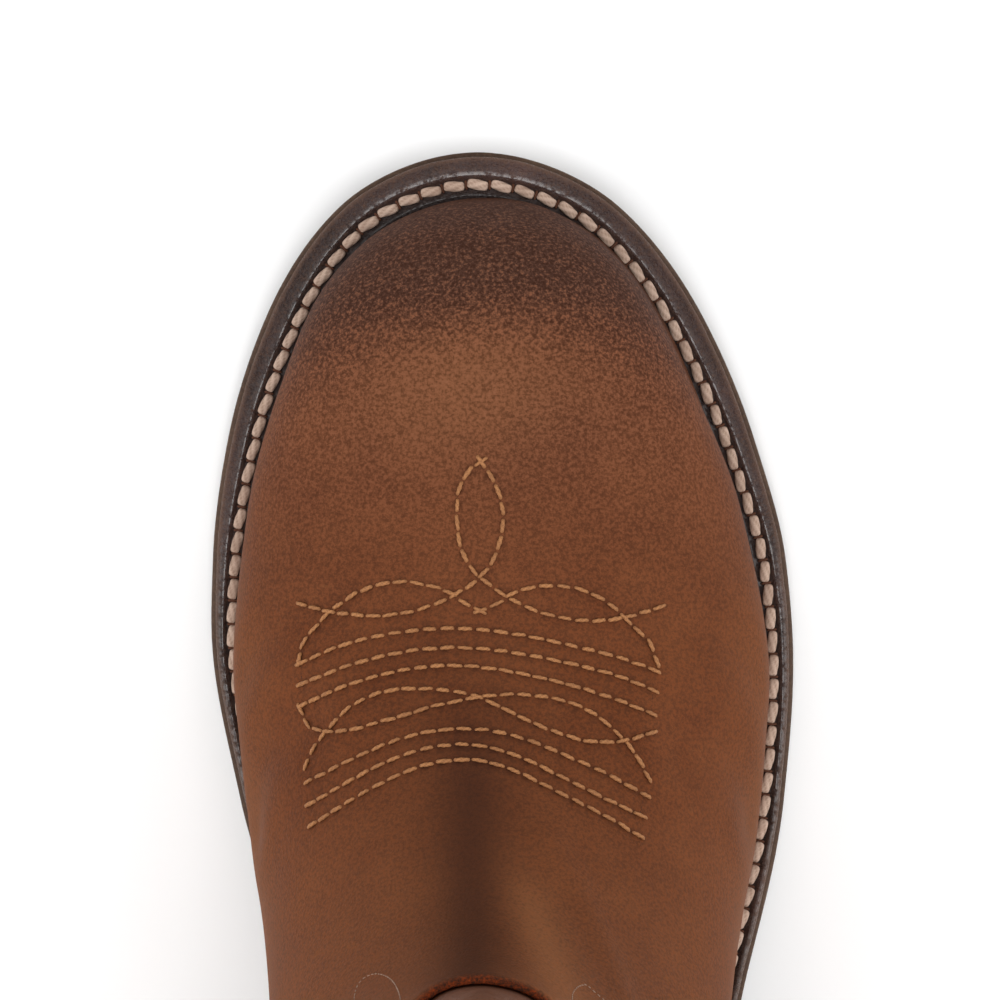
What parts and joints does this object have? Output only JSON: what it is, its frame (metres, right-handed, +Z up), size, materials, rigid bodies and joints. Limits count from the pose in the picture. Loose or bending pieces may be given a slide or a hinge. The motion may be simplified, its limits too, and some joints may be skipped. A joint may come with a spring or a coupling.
{
  "type": "cowboy boot",
  "caption": "Right pull-on western boot in worn brown leather with a round toe, stitched welt, toe stitching, scalloped collar and pull straps.",
  "frame": {"origin": "on the floor, at the middle of the heel cap's underside", "axes": "+Z up, -Y towards the toe, +X towards the inner (medial) side of the right foot"},
  "size_m": [0.1107, 0.282, 0.3162],
  "materials": {
    "sole": "matt, dark brown",
    "welt_leather": "dark brown, half gloss",
    "heel_leather": "dark brown stacked leather, burnished",
    "heel_rubber": "matt black",
    "lining": "natural, matt",
    "shaft_leather": "worn brown, satin",
    "vamp_leather": "worn brown, darkened at the toe, satin",
    "trim_leather": "dark brown, satin"
  },
  "bodies": {
    "root": {"outsole": "sole", "welt": "welt_leather", "heel_stack": "heel_leather", "heel_cap": "heel_rubber", "insole": "lining", "upper": "shaft_leather", "vamp": "vamp_leather", "counter": "vamp_leather", "collar_binding": "trim_leather", "side_piping_medial": "trim_leather", "side_piping_lateral": "trim_leather", "pull_strap_medial": "shaft_leather", "pull_strap_lateral": "shaft_leather"}
  },
  "joints": []
}
